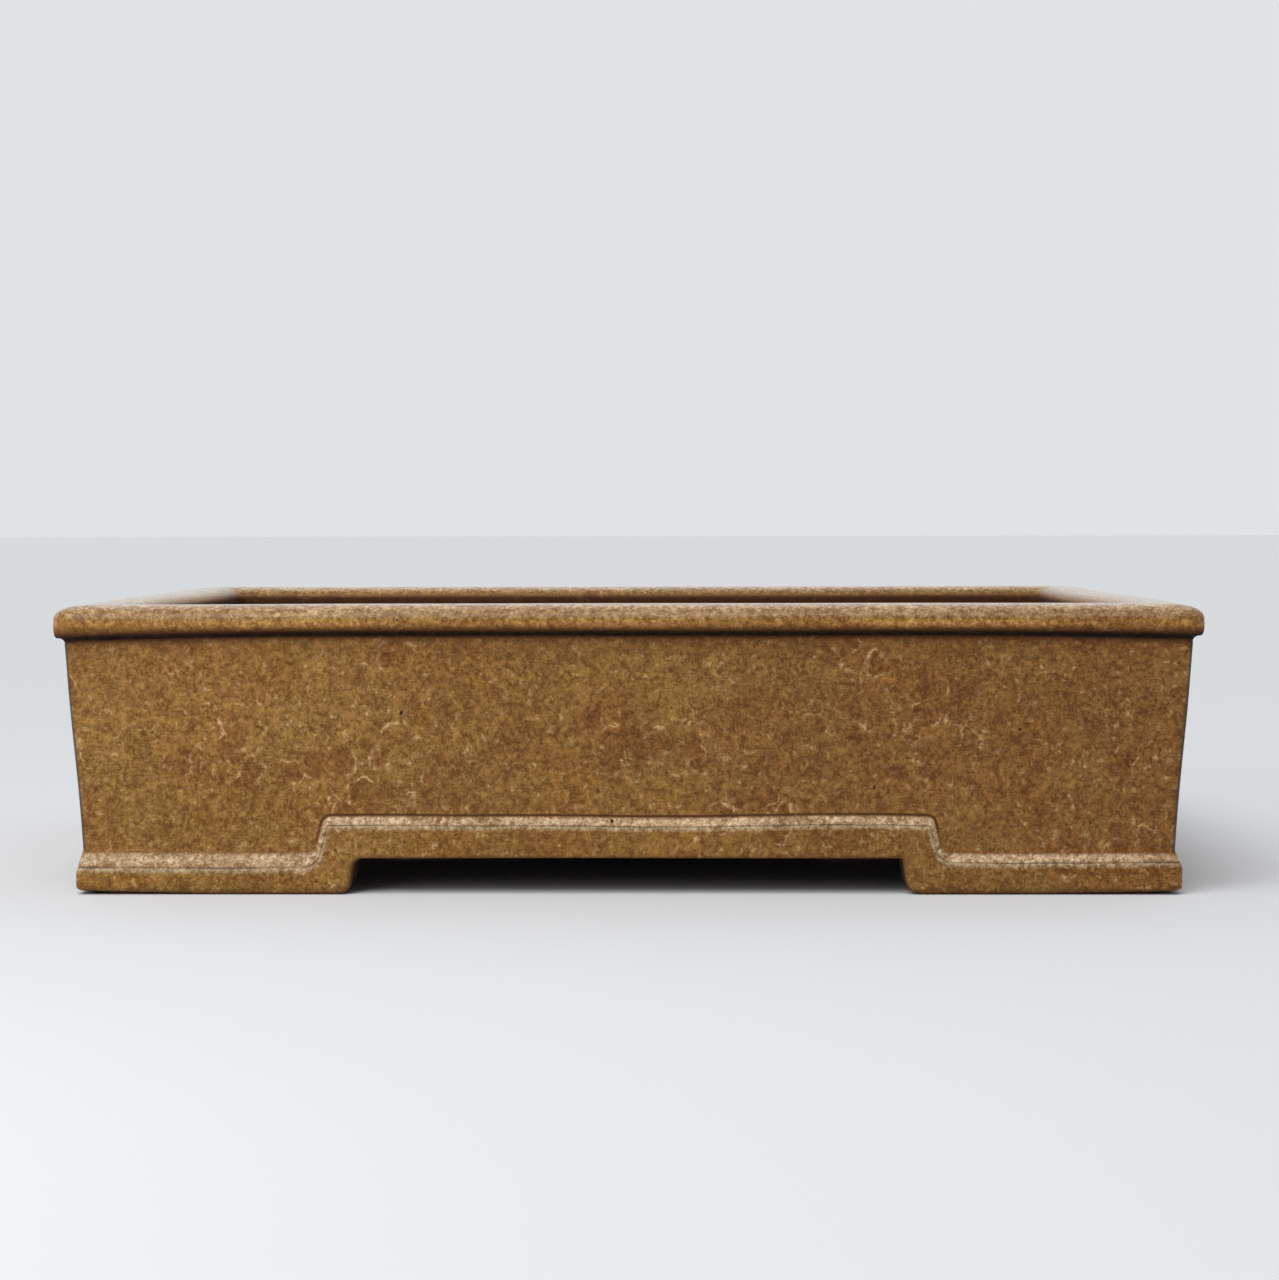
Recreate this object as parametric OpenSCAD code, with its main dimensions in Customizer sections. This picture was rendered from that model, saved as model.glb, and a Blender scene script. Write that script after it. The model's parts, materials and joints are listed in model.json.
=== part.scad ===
// Rectangular bonsai pot, slab-built in stoneware: four mitred walls round a floor
// slab, a domed rim on top, a stepped band round the base and four L-shaped feet.
// Lengths are in millimetres. X runs along the width, Y from front to back, Z up.
// The origin is on the ground, under the middle of the pot.

/* [Overall] */
// Width over the rim
pot_w = 440; // [330:5:600]
// Depth over the rim
pot_d = 300; // [240:5:420]
// Height from the ground to the crest of the rim
pot_h = 112; // [85:1:180]

/* [Walls and floor] */
// Thickness of a wall, measured level
wall_t = 10; // [8:0.5:14]
// How far a wall's outer face stands in from the rim, just under the rim
wall_in_top = 5; // [5:0.5:8]
// How far it stands in at its lower edge
wall_in_low = 10.3; // [9:0.1:16]
// Radius of the cove between wall and rim
neck_r = 0.8; // [0.4:0.1:0.8]
// Thickness of the floor slab
floor_t = 10; // [7:0.5:14]

/* [Rim] */
// Width of the rim, seen from above
rim_w = 28; // [24:0.5:34]
// Height of the rim
rim_t = 13.5; // [12:0.5:20]
// Drop from the crest of the rim to its widest point
rim_shoulder_drop = 7; // [6.8:0.1:7.6]
// Radius of the rim's shoulders
rim_shoulder_r = 6.5; // [4:0.5:6.5]
// Radius of the rim's lower edges
rim_low_r = 4.2; // [2:0.1:4.2]
// Radius of the rim's corners, seen from above
rim_corner_r = 9; // [4:0.5:14]

/* [Band] */
// Height of the band, the same along the middle and over the feet
band_h = 15.3; // [10:0.1:20]
// How far the band's face stands out from the wall's lower edge
band_t = 2.6; // [1.5:0.1:4]
// Height of the band's bevelled upper edge
band_bevel = 2.6; // [1:0.1:4]
// Distance from the end of a foot to the step in the band
step_back = 12.5; // [6:0.5:20]
// How far the step leans back over its height
step_lean = 3.5; // [0:0.5:6]

/* [Feet] */
// Height of the feet
foot_h = 14; // [10:0.5:20]
// Length of a foot along the front and the back
foot_len_front = 105; // [70:1:120]
// Length of a foot along the two sides
foot_len_side = 70; // [50:1:85]
// Width of a foot's two arms
foot_w = 24; // [16:1:34]
// How far the end of a foot leans over its height
foot_lean = 2.3; // [0:0.1:5]
// Radius of the cove between the end of a foot and the wall
foot_cove_r = 4; // [1:0.5:7]

/* [Drainage] */
// Diameter of the drain holes
drain_d = 36; // [20:1:50]
// Distance between the centres of the two drain holes
drain_apart = 190; // [120:5:220]
// Diameter of the holes for the wires that tie the tree down
wire_d = 5; // [3:0.5:8]
// Distance between the wire holes along the width
wire_apart_x = 270; // [240:5:300]
// Distance between the wire holes along the depth
wire_apart_y = 120; // [60:5:140]

/* [Luting] */
// Size of the clay fillets pressed into the inner seams
seam_r = 8; // [4:0.5:12]

/* [Hidden] */

// Sides and corners are numbered the same way round; corner n ends side n at its left.
front = 0;
right = 1;
back = 2;
left = 3;

neck_z = pot_h - rim_t;                  // underside of the rim
floor_z = foot_h + floor_t;              // top of the floor slab
band_in = wall_in_low - band_t;          // the band's face, in from the rim's face
taper = (wall_in_low - wall_in_top) / (neck_z - neck_r - foot_h);
mitre = wall_in_low + wall_t + foot_w + seam_r + rim_w;   // deeper than any mitred piece
past = 5;                                // how far a cutting shape runs past the clay
arc_steps = 8;
glaze = [0.55, 0.37, 0.2];
clay = [0.47, 0.36, 0.28];
$fn = 96;

function run(side) = side % 2 == 0 ? pot_w : pot_d;
function reach(side) = run(side + 1) / 2;
function foot_len(side) = side % 2 == 0 ? foot_len_front : foot_len_side;
function gap_half(side) = run(side) / 2 - band_in - foot_len(side);
function wall_in(z) = wall_in_low - taper * (z - foot_h);
function lining_in(z) = wall_in(z) + wall_t;
function arc(centre, r, from, to) =
    [for (i = [0:arc_steps]) centre + r * [cos(from + (to - from) * i / arc_steps),
                                           sin(from + (to - from) * i / arc_steps)]];
function mirrored(points, axis_x) =
    [for (i = [len(points) - 1:-1:0]) [2 * axis_x - points[i].x, points[i].y]];

// A mitred bar along one side. Its section is the child: x is the distance in from the
// rim's outer face and y is the height.
module bar(side) {
    rotate([0, 0, 90 * side]) intersection() {
        translate([-run(side) / 2, -reach(side), 0])
            rotate([90, 0, 90]) linear_extrude(run(side)) children();
        translate([0, -reach(side), -past]) linear_extrude(pot_h + 2 * past)
            polygon([[-run(side) / 2, 0], [run(side) / 2, 0],
                     [run(side) / 2 - mitre, mitre], [mitre - run(side) / 2, mitre]]);
    }
}

// A prism straight through the pot, square to one side. Its outline is the child: x runs
// along the side and y is the height.
module through(side) {
    rotate([0, 0, 90 * side]) translate([0, reach(side) + past, 0])
        rotate([90, 0, 0]) linear_extrude(2 * (reach(side) + past)) children();
}

// The space between the inner faces of two opposite walls.
module lining_outline(side, z0, z1) {
    half_low = run(side) / 2 - lining_in(z0);
    half_high = run(side) / 2 - lining_in(z1);
    polygon([[-half_low, z0], [half_low, z0], [half_high, z1], [-half_high, z1]]);
}

module cavity(z0, z1) {
    intersection() {
        through(front) lining_outline(front, z0, z1);
        through(right) lining_outline(right, z0, z1);
    }
}

// The opening between two feet, with leaning ends coved at the top.
module foot_gap(side) {
    half = gap_half(side);
    corner = [half - foot_lean - foot_cove_r, foot_h - foot_cove_r];
    right_end = concat([[half, -past], [half, 0]], arc(corner, foot_cove_r, 0, 90));
    through(side) polygon(concat(right_end, mirrored(right_end, 0)));
}

module floor_slab() {
    color(clay) difference() {
        cavity(foot_h, floor_z);
        for (x = [-1, 1]) {
            translate([x * drain_apart / 2, 0, foot_h - past])
                cylinder(d = drain_d, h = floor_t + 2 * past);
            for (y = [-1, 1])
                translate([x * wire_apart_x / 2, y * wire_apart_y / 2, foot_h - past])
                    cylinder(d = wire_d, h = floor_t + 2 * past);
        }
    }
}

module wall(side) {
    cove = [wall_in_top - neck_r, neck_z - neck_r];
    color(glaze) bar(side) polygon(concat(
        [[wall_in_low, foot_h]], arc(cove, neck_r, 0, 90),
        [[lining_in(neck_z), neck_z], [lining_in(foot_h), foot_h]]));
}

// The crest is one flat arc that runs into two tighter shoulder arcs.
module rim_section() {
    half = rim_w / 2;
    crest_r = (pow(half - rim_shoulder_r, 2) + pow(rim_shoulder_drop, 2) - pow(rim_shoulder_r, 2))
        / (2 * (rim_shoulder_drop - rim_shoulder_r));
    shoulder = [rim_shoulder_r, pot_h - rim_shoulder_drop];
    crest = [half, pot_h - crest_r];
    meet = atan2(shoulder.y - crest.y, shoulder.x - crest.x);
    outer_half = concat(
        arc([rim_low_r, neck_z + rim_low_r], rim_low_r, 270, 180),
        arc(shoulder, rim_shoulder_r, 180, meet),
        arc(crest, crest_r, meet, 90));
    polygon(concat(outer_half, mirrored(outer_half, half)));
}

module rim(side) {
    corner = [pot_w / 2 - rim_corner_r, pot_d / 2 - rim_corner_r];
    color(glaze) intersection() {
        bar(side) rim_section();
        linear_extrude(pot_h + past) polygon(concat(
            arc(corner, rim_corner_r, 0, 90),
            arc([-corner.x, corner.y], rim_corner_r, 90, 180),
            arc(-corner, rim_corner_r, 180, 270),
            arc([corner.x, -corner.y], rim_corner_r, 270, 360)));
    }
}

// A strip lying on the wall, rounded at the ground and bevelled to nothing at the top.
module band_section(top) {
    polygon(concat(
        arc([wall_in_low, band_t], band_t, 270, 180),
        [[band_in, top - band_bevel], [wall_in(top), top], [wall_in_low, foot_h]]));
}

// Clears the wall beyond the step at both ends, leaving the low strip over the feet. The
// cut leans with the step and leaves a bevel along both of its edges.
module step_cut(side) {
    lean = atan2(step_lean, band_h);
    foot_x = gap_half(side) + step_back;
    rotate([0, 0, 90 * side]) for (end = [0, 1]) mirror([end, 0, 0]) intersection() {
        translate([0, -reach(side), 0]) rotate([90, 0, 90]) linear_extrude(run(side))
            polygon([[-past, band_h - band_bevel], [band_in, band_h - band_bevel],
                     [wall_in(band_h), band_h], [mitre, band_h], [mitre, pot_h], [-past, pot_h]]);
        translate([foot_x, -reach(side), band_h]) rotate([0, -lean, 0])
            translate([0, 0, -foot_len(side)]) linear_extrude(pot_h + foot_len(side))
                polygon([[-band_bevel, -past], [-band_bevel, band_in], [0, wall_in(band_h)],
                         [0, mitre], [foot_len(side), mitre], [foot_len(side), -past]]);
    }
}

module foot_band(side) {
    color(glaze) difference() {
        bar(side) band_section(foot_h + band_h);
        step_cut(side);
        foot_gap(side);
    }
}

module foot(corner) {
    outer = [pot_w / 2 - wall_in_low, pot_d / 2 - wall_in_low];
    inner = outer - [foot_w, foot_w];
    toward = [corner == front || corner == left ? -1 : 1, corner == front || corner == right ? -1 : 1];
    color(clay) difference() {
        linear_extrude(foot_h) polygon([
            [0, 0], [toward.x * outer.x, 0], [toward.x * outer.x, toward.y * outer.y],
            [0, toward.y * outer.y]]);
        translate([0, 0, -past]) linear_extrude(foot_h + 2 * past)
            square(2 * inner, center = true);
        foot_gap(front);
        foot_gap(right);
    }
}

module floor_seam(side) {
    root = lining_in(floor_z);
    color(clay) bar(side) polygon(concat(
        [[root, floor_z], [lining_in(floor_z + seam_r), floor_z + seam_r]],
        arc([root + seam_r, floor_z + seam_r], seam_r, 180, 270)));
}

// A fillet that leans with the two walls it joins, scribed over the floor's own fillets.
module corner_seam(corner) {
    way = [corner == front || corner == left ? 1 : 0, corner == front || corner == right ? 1 : 0];
    root = [pot_w / 2 - lining_in(floor_z), pot_d / 2 - lining_in(floor_z)];
    lean = atan(taper * sqrt(2));
    color(clay) difference() {
        intersection() {
            cavity(floor_z, neck_z);
            mirror([way.x, 0, 0]) mirror([0, way.y, 0]) translate([root.x, root.y, floor_z])
                rotate([0, 0, 45]) rotate([0, lean, 0]) rotate([0, 0, -45])
                    translate([0, 0, -floor_z]) linear_extrude(pot_h + floor_z) polygon(concat(
                        [[past, past], [-seam_r, past]],
                        arc([-seam_r, -seam_r], seam_r, 90, 0),
                        [[past, -seam_r]]));
        }
        floor_seam(front);
        floor_seam(right);
        floor_seam(back);
        floor_seam(left);
    }
}

floor_slab();
wall(front);  // front_wall
wall(right);  // right_wall
wall(back);  // back_wall
wall(left);  // left_wall
rim(front);  // front_rim
rim(right);  // right_rim
rim(back);  // back_rim
rim(left);  // left_rim
foot_band(front);  // front_foot_band
foot_band(right);  // right_foot_band
foot_band(back);  // back_foot_band
foot_band(left);  // left_foot_band
foot(front);  // front_left_foot
foot(right);  // front_right_foot
foot(back);  // back_right_foot
foot(left);  // back_left_foot
floor_seam(front);  // front_floor_seam
floor_seam(right);  // right_floor_seam
floor_seam(back);  // back_floor_seam
floor_seam(left);  // left_floor_seam
corner_seam(front);  // front_left_corner_seam
corner_seam(right);  // front_right_corner_seam
corner_seam(back);  // back_right_corner_seam
corner_seam(left);  // back_left_corner_seam
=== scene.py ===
import json

import bpy
import numpy as np
from mathutils import Matrix, Vector


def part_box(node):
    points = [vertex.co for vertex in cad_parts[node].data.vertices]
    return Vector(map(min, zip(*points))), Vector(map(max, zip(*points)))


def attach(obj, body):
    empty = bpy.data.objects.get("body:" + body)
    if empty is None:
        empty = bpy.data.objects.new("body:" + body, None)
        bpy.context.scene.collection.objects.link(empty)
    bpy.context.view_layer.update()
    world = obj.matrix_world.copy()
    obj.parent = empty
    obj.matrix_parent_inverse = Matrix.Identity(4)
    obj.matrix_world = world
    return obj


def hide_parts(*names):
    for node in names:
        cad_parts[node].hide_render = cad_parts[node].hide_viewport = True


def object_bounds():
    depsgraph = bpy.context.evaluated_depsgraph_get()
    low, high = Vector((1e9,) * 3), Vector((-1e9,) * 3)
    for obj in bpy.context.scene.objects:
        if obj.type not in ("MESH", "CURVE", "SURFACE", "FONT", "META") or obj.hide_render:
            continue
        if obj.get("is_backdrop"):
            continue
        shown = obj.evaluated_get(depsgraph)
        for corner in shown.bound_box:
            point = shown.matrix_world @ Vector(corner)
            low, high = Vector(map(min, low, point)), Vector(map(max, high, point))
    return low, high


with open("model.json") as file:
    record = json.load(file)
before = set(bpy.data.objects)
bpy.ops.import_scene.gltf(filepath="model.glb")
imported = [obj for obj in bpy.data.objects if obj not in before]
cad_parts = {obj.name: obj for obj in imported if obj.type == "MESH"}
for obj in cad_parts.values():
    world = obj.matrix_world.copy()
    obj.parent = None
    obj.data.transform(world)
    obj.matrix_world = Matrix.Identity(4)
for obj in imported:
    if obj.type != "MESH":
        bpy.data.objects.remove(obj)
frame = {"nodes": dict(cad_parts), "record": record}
cadLow, cadHigh = (np.array(corner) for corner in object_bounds())
print("frame loaded:", len(frame["nodes"]), "pieces")

mm = 0.001
sides = ["front", "right", "back", "left"]      # each is the front turned by quarter turns
corners = ["front_left", "front_right", "back_right", "back_left"]      # corner n starts side n
mounts = {mount["name"]: mount for mount in frame["record"]["mounts"]}

# sizes taken from the frame; "in" is how far something stands in from the rim's outer face
halfSize = cadHigh[:2]
rimZ = cadHigh[2]
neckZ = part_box("front_rim")[0][2]
floorUnder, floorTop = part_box("floor_slab")[0][2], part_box("floor_slab")[1][2]
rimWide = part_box("front_rim")[1][1] - cadLow[1]
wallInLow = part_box("front_left_foot")[0][1] - cadLow[1]
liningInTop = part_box("front_wall")[1][1] - cadLow[1]        # the widest the wall reaches inwards
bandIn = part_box("front_foot_band")[0][1] - cadLow[1]
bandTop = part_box("front_foot_band")[1][2]
bandTall = bandTop - floorUnder
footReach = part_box("front_left_foot")[1]


# shapes: every piece is a grid of points, worked out as whole arrays

def smoothStep(value, start, stop):
    # 0 before start, 1 after stop, 3t^2 - 2t^3 between
    t = np.clip((value - start) / (stop - start), 0, 1)
    return t * t * (3 - 2 * t)


def quarterTurn(steps):
    return np.linspace(0, np.pi / 2, steps + 1)


handShape = {"seed": 11, "waves": 10, "shortest": 60 * mm, "longest": 320 * mm, "reach": 0.34 * mm}


def slowWaves(seed, waves, shortest, longest, reach):
    # for each axis, waves with random directions, lengths and phases; long ones are the highest
    rng = np.random.default_rng(seed)
    way = rng.normal(size=(3, waves, 3))
    way /= np.linalg.norm(way, axis=2, keepdims=True)
    length = np.exp(rng.uniform(np.log(shortest), np.log(longest), (3, waves)))
    phase = rng.uniform(0, 2 * np.pi, (3, waves))
    return way * (2 * np.pi / length)[..., None], phase, length / length.sum(1, keepdims=True) * reach


waveWay, wavePhase, waveSize = slowWaves(**handShape)


def shapedByHand(points):
    # moves a point on each axis by the sum of size * sin(way . point + phase), the same for every
    # piece so that they still meet, and never up or down at the ground
    offset = (np.sin(np.einsum("awc,nc->naw", waveWay, points) + wavePhase) * waveSize).sum(2)
    offset[:, 2] *= smoothStep(points[:, 2], 2 * mm, 25 * mm)
    return points + offset


def unevenLine(along, seed, reach, shortest=30 * mm, longest=200 * mm, waves=8):
    # a line that wanders by about reach: sines of the distance along, long ones the highest
    rng = np.random.default_rng(seed)
    length = rng.uniform(shortest, longest, waves)
    phase = rng.uniform(0, 2 * np.pi, waves)
    sines = np.sin(along[..., None] * 2 * np.pi / length + phase)
    return (sines * length).sum(-1) / length.sum() * 2 * reach


def onSide(side, along, inwards, height):
    # a point along a side, in from the rim's outer face, turned from the front to its side
    x, y = along, inwards - halfSize[1 - side % 2]
    for turn in range(side):
        x, y = -y, x
    return np.stack(np.broadcast_arrays(x, y, height), -1)


def awayFromMitre(side, along):
    # 0 at a side's ends and 1 well along it, so that what wanders is level where two sides meet
    return smoothStep(halfSize[side % 2] - abs(along), 8 * mm, 50 * mm)


def wallIn(height):
    # the wall's outer face: a straight taper from its lower edge to the neck with a slight S in it
    t = (height - floorUnder) / (wallShape["neckStart"] - floorUnder)
    sway = wallShape["sway"] * np.sin(2 * np.pi * np.clip(t, 0, 1))
    return wallInLow + (wallShape["topIn"] - wallInLow) * t + sway


def liningIn(height):
    # the wall's inner face: the same taper, a wall's thickness further in
    t = (height - floorUnder) / (neckZ - floorUnder)
    return wallShape["thick"] + wallInLow + (wallShape["topIn"] - wallInLow) * t


def signedVolume(points, faces):
    # sum over each face's fan of triangles of a . (b x c) / 6, negative when inside out
    total = 0.0
    for count in {len(face) for face in faces}:
        fan = points[np.array([face for face in faces if len(face) == count])]
        total += np.einsum("fj,fkj->", fan[:, 0], np.cross(fan[:, 1:-1], fan[:, 2:]))
    return total / 6


def closedGrid(rows, columns):
    # quads between rows, the last of which meets the first, and a face over each end column
    index = np.arange(rows * columns).reshape(rows, columns)
    after = np.roll(index, -1, axis=0)
    quads = np.stack([index[:, :-1], index[:, 1:], after[:, 1:], after[:, :-1]], -1)
    return quads.reshape(-1, 4).tolist() + [index[:, 0].tolist(), index[::-1, -1].tolist()]


def addPiece(node, points, faces, material, marks=None, sharpest=38):
    # puts the points and faces into a mesh, turned outwards, in place of its node
    points = shapedByHand(points.reshape(-1, 3))
    if signedVolume(points, faces) < 0:
        faces = [face[::-1] for face in faces]
    mesh = bpy.data.meshes.new(node + "_surface")
    mesh.from_pydata(points.tolist(), [], faces)
    for name, values in (marks or {}).items():
        layer = mesh.attributes.new(name, "FLOAT", "POINT")
        layer.data.foreach_set("value", np.ravel(values).astype(np.float32))
    mesh.materials.append(material)
    mesh.shade_smooth()
    mesh.set_sharp_from_angle(angle=np.radians(sharpest))
    piece = bpy.data.objects.new(node + "_surface", mesh)
    bpy.context.collection.objects.link(piece)
    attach(piece, "root")
    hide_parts(node)


# materials

def linear(code):
    # sRGB hex to linear colour
    value = np.array([int(code[place:place + 2], 16) for place in (1, 3, 5)]) / 255
    value = np.where(value <= 0.04045, value / 12.92, ((value + 0.055) / 1.055) ** 2.4)
    return (*value.tolist(), 1.0)


def addNode(tree, kind, inputs, output=0, **settings):
    # one node with its settings and its inputs, each a value or another node's output
    node = tree.nodes.new("ShaderNode" + kind)
    for name, value in settings.items():
        setattr(node, name, value)
    for socket, value in inputs.items():
        if isinstance(value, bpy.types.NodeSocket):
            tree.links.new(value, node.inputs[socket])
        else:
            node.inputs[socket].default_value = value
    return node.outputs[output] if node.outputs else node


def newMaterial(name):
    material = bpy.data.materials.new(name)
    material.use_nodes = True
    material.node_tree.nodes.clear()
    return material, material.node_tree


def layered(tree, colour, layers):
    # lays a share of each colour, given as hex or as an output, over what is under it
    for share, over in layers:
        over = linear(over) if isinstance(over, str) else over
        colour = addNode(tree, "Mix", {0: share, 6: colour, 7: over}, output=2, data_type="RGBA")
    return colour


def blotches(tree, place, size, start, stop, detail=3.0, rough=0.55, warp=0.0, most=1.0):
    # blotches of about that size: none where the noise is under start, full over stop
    noise = addNode(tree, "TexNoise", {"Vector": place, "Scale": 1 / size, "Detail": detail,
                                       "Roughness": rough, "Distortion": warp})
    return addNode(tree, "MapRange", {"Value": noise, "From Min": start, "From Max": stop, "To Max": most},
                   interpolation_type="SMOOTHSTEP")


# stoneware clay left unglazed and fired dark: matt, gritty, with stains and iron specks; the real
# grit is about half a millimetre and is drawn a little coarser so that it shows
clayLook = {
    "body": "#4f3829", "stain": "#2c1e15", "grit": "#6f5440", "iron": "#1d120c",
    "stainSize": 26 * mm, "gritSize": 1.1 * mm, "ironSize": 2.6 * mm, "roughness": 0.86,
    "specular": 0.15, "relief": 0.3 * mm,
}


def clayColour(tree, place, look):
    stain = blotches(tree, place, look["stainSize"], 0.4, 0.68, detail=4)
    grit = blotches(tree, place, look["gritSize"], 0.48, 0.62, detail=2, most=0.45)
    iron = blotches(tree, place, look["ironSize"], 0.68, 0.73, detail=1)
    layers = (stain, look["stain"]), (grit, look["grit"]), (iron, look["iron"])
    return layered(tree, linear(look["body"]), layers), grit


def makeClay():
    look = clayLook
    material, tree = newMaterial("unglazedStoneware")
    place = addNode(tree, "TexCoord", {}, output="Object")
    colour, grit = clayColour(tree, place, look)
    bump = addNode(tree, "Bump", {"Height": grit, "Strength": 0.5, "Distance": look["relief"]})
    shader = addNode(tree, "BsdfPrincipled", {
        "Base Color": colour, "Roughness": look["roughness"], "Specular IOR Level": look["specular"],
        "Normal": bump})
    addNode(tree, "OutputMaterial", {"Surface": shader})
    return material


# amber ash glaze brushed on stoneware and fired to a satin gloss: a fine tan and brown grain in
# soft patches, short crooked ridges where it crawled, pale and pinkish where it runs thin over an
# edge and where the top faces the light (partly a painted highlight), a painted highlight band and a
# greyish painted reflection on the rim's roll, nearly black where it pools and in painted shade under
# the rim and over the bevel, and painted shade at the arrises; its crystals are about 0.3 mm and the
# finest grain is drawn at 0.8 mm so that it shows
glazeLook = {
    "body": "#815b29", "fired": "#68411a", "firedShare": 0.6, "russet": "#7c4216", "olive": "#776430",
    "hueSize": 34 * mm, "hueShare": 0.14,
    "grain": [(0.8 * mm, 1.5), (2.0 * mm, 1.35), (5 * mm, 0.85), (45 * mm, 0.4)],       # size, strength
    "crystal": 1.5 * mm, "crystalStrength": 0.35,
    "darkest": (0.58, 0.46, 0.28, 1), "palest": (1.8, 2.0, 2.35, 1),    # what the grain multiplies by
    "skew": 1.4,        # over 1, pale specks are fewer and stand out more than dark ones
    "fleck": "#b99a6c", "fleckSize": 3 * mm, "fleckMost": 0.36,
    "ridge": "#c09a6c", "ridgeMost": 0.55, "hollow": "#63350e", "hollowMost": 0.5, "ridgeWide": 1.5 * mm,
    "cellSize": 12 * mm, "dropRadius": 0.5,     # one drop to a cell, its radius a share of the cell
    "swirlSize": 5 * mm, "swirlReach": 7 * mm, "brokenSize": 9 * mm,
    "areaSize": 70 * mm, "areaFlat": 1.9,       # the crawled areas are this many times wider than high
    "pit": "#2a1708", "pitSize": 4 * mm,
    # of the mark colours: the thin edge is thin glaze and partly a painted highlight, the next a painted
    # highlight on the rim's roll, the greyish one partly a painted reflection, the pooled and the deepest
    # are pooled glaze going to painted shade, and the last is a dark hairline and painted shade at the
    # arrises
    "thin": "#ad9270", "gold": "#a77b3e", "ash": "#947d5c", "pooled": "#6b340a", "deep": "#0e0300",
    "soot": "#3a3833",
    "most": {"ash": 0.85, "thin": 0.92, "gold": 0.75, "pool": 1.0, "soot": 0.9},    # cover of each mark
    "roughness": (0.24, 0.42), "dull": 0.85, "rubbed": 0.09, "specular": 0.2, "relief": 0.25 * mm,
}
# marks on the mesh: thin glaze with a painted highlight, a painted highlight band, ash glaze with a painted
# reflection, pooled glaze with painted shade, a dark hairline with painted shade, and bare clay
glazeMarks = ("thin", "gold", "ash", "pool", "soot", "bare")


def glazeGrain(tree, place, look):
    # noises of several sizes and one of flat crystals, added about 0.5, each by its strength
    crystal = addNode(tree, "TexVoronoi", {"Vector": place, "Scale": 1 / look["crystal"]}, output="Color")
    value = addNode(tree, "Math", {0: crystal, 1: look["crystalStrength"], 2: 0.5 - (
        look["crystalStrength"] + sum(strength for size, strength in look["grain"])) / 2},
        operation="MULTIPLY_ADD")
    for size, strength in look["grain"]:
        noise = addNode(tree, "TexNoise", {"Vector": place, "Scale": 1 / size, "Detail": 3.0})
        value = addNode(tree, "Math", {0: noise, 1: strength, 2: value}, operation="MULTIPLY_ADD")
    return value


def glazeRidges(tree, place, look):
    # where round drops ran together: each is a little hollow and darker inside, and the outline
    # round all of them is a thin raised line with cusps; both only in a few places
    swirl = addNode(tree, "TexNoise", {"Vector": place, "Scale": 1 / look["swirlSize"], "Detail": 4.0},
                    output="Color")
    bent = addNode(tree, "VectorMath", {0: swirl, 1: (look["swirlReach"],) * 3, 2: place},
                   operation="MULTIPLY_ADD")
    reach = addNode(tree, "TexVoronoi", {"Vector": bent, "Scale": 1 / look["cellSize"]}, output="Distance")
    wide, edge = look["ridgeWide"] / look["cellSize"], look["dropRadius"]
    away = addNode(tree, "Math", {0: reach, 1: edge}, operation="SUBTRACT")
    away = addNode(tree, "Math", {0: away}, operation="ABSOLUTE")
    line = addNode(tree, "MapRange", {"Value": away, "From Max": wide / 2, "To Min": 1.0, "To Max": 0.0},
                   interpolation_type="SMOOTHSTEP")
    inside = addNode(tree, "MapRange", {"Value": reach, "From Min": edge, "From Max": 0.7 * edge},
                     interpolation_type="SMOOTHSTEP")
    flatter = addNode(tree, "VectorMath", {0: place, 1: (1.0, 1.0, look["areaFlat"])}, operation="MULTIPLY")
    area = blotches(tree, flatter, look["areaSize"], 0.5, 0.62, detail=2)
    broken = blotches(tree, place, look["brokenSize"], 0.47, 0.6, detail=2)
    line = addNode(tree, "Math", {0: line, 1: broken}, operation="MULTIPLY")
    return [addNode(tree, "Math", {0: value, 1: area}, operation="MULTIPLY") for value in (line, inside)]


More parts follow.
